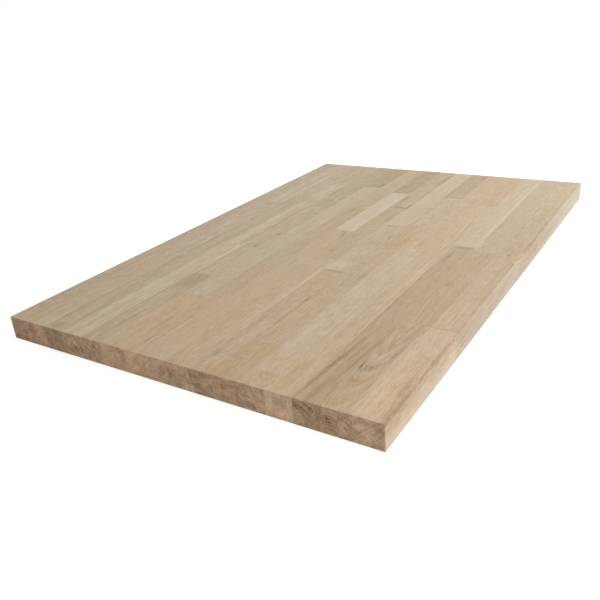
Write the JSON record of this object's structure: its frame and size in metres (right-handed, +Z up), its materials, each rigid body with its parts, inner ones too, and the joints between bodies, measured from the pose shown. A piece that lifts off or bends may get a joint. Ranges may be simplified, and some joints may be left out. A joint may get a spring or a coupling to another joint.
{
  "type": "stair tread",
  "caption": "Flat rectangular stair tread of edge-glued oak staves, each stave made of blocks joined end to end by interlocking tapered fingers.",
  "frame": {"origin": "centre of the underside of the tread, which lies flat", "axes": "+X along the grain from the near end to the far end, +Y across the staves towards stave 1, +Z up out of the walking face"},
  "size_m": [1, 0.65, 0.038],
  "materials": {
    "oak_cream": "fine-sanded, unfinished",
    "oak_sand": "fine-sanded, unfinished",
    "oak_ash": "fine-sanded, unfinished",
    "oak_straw": "fine-sanded, unfinished",
    "oak_honey": "fine-sanded, unfinished",
    "oak_fawn": "fine-sanded, unfinished",
    "oak_olive": "fine-sanded, unfinished",
    "oak_umber": "fine-sanded, unfinished",
    "glue_line": "cured wood glue, sanded flush"
  },
  "bodies": {
    "root": {"stave_01_block_1": "oak_fawn", "stave_01_block_2": "oak_ash", "stave_01_block_3": "oak_ash", "stave_02_block_1": "oak_straw", "stave_02_block_2": "oak_straw", "stave_02_block_3": "oak_sand", "stave_03_block_1": "oak_fawn", "stave_03_block_2": "oak_fawn", "stave_03_block_3": "oak_fawn", "stave_04_block_1": "oak_sand", "stave_04_block_2": "oak_sand", "stave_04_block_3": "oak_straw", "stave_04_block_4": "oak_fawn", "stave_05_block_1": "oak_olive", "stave_05_block_2": "oak_straw", "stave_05_block_3": "oak_olive", "stave_06_block_1": "oak_honey", "stave_06_block_2": "oak_ash", "stave_06_block_3": "oak_straw", "stave_06_block_4": "oak_umber", "stave_07_block_1": "oak_honey", "stave_07_block_2": "oak_fawn", "stave_07_block_3": "oak_straw", "stave_08_block_1": "oak_straw", "stave_08_block_2": "oak_cream", "stave_08_block_3": "oak_umber", "stave_09_block_1": "oak_straw", "stave_09_block_2": "oak_olive", "stave_09_block_3": "oak_fawn", "stave_10_block_1": "oak_fawn", "stave_10_block_2": "oak_ash", "stave_10_block_3": "oak_cream", "stave_11_block_1": "oak_honey", "stave_11_block_2": "oak_straw", "stave_11_block_3": "oak_sand", "stave_11_block_4": "oak_olive", "stave_12_block_1": "oak_straw", "stave_12_block_2": "oak_ash", "stave_12_block_3": "oak_sand", "stave_13_block_1": "oak_sand", "stave_13_block_2": "oak_sand", "stave_13_block_3": "oak_honey", "stave_14_block_1": "oak_umber", "stave_14_block_2": "oak_olive", "stave_14_block_3": "oak_cream", "stave_15_block_1": "oak_olive", "stave_15_block_2": "oak_fawn", "stave_15_block_3": "oak_ash", "stave_16_block_1": "oak_cream", "stave_16_block_2": "oak_sand", "stave_16_block_3": "oak_sand"}
  },
  "joints": []
}
